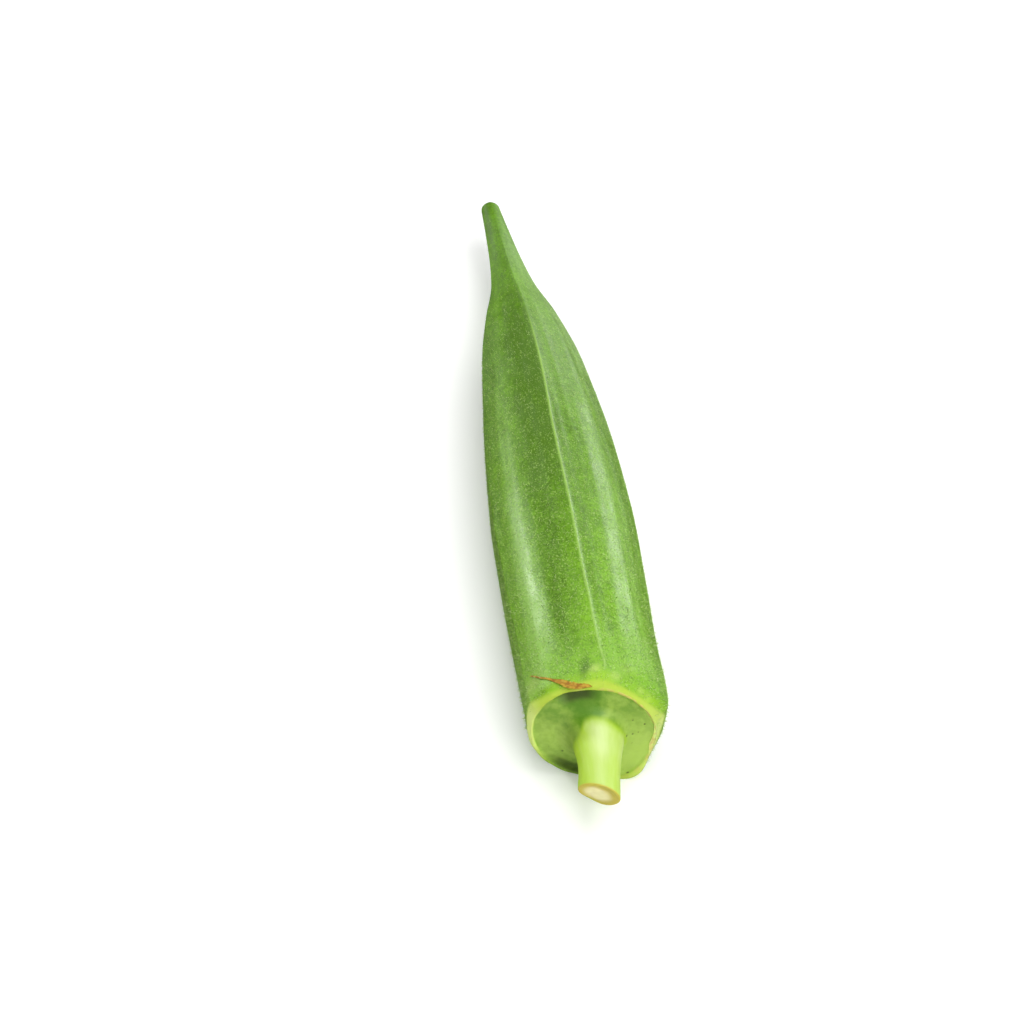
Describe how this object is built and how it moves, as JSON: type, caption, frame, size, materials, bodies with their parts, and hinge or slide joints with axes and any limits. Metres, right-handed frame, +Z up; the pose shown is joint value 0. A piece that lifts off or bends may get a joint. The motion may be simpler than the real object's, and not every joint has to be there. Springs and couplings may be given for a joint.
{
  "type": "okra pod",
  "caption": "Fresh green okra pod lying on its side: ridged tapering body, rimmed stem scar with a shallow cap, short obliquely cut stem, and a shred of dried calyx.",
  "frame": {"origin": "bottom centre of the box round the whole object, on the surface that the pod lies on", "axes": "+Y along the pod from the cut stem to the tip, +Z up through the top main ridge, +X to the side"},
  "size_m": [0.0198, 0.1278, 0.0185],
  "materials": {
    "pod_skin": "fresh plant skin, satin with fine pale hairs; yellow-green rim and stem, cream cut",
    "dried_calyx": "dried plant tissue, matt tan to brown"
  },
  "bodies": {
    "root": {"okra_pod": "pod_skin", "dried_calyx_shred": "dried_calyx"}
  },
  "joints": []
}
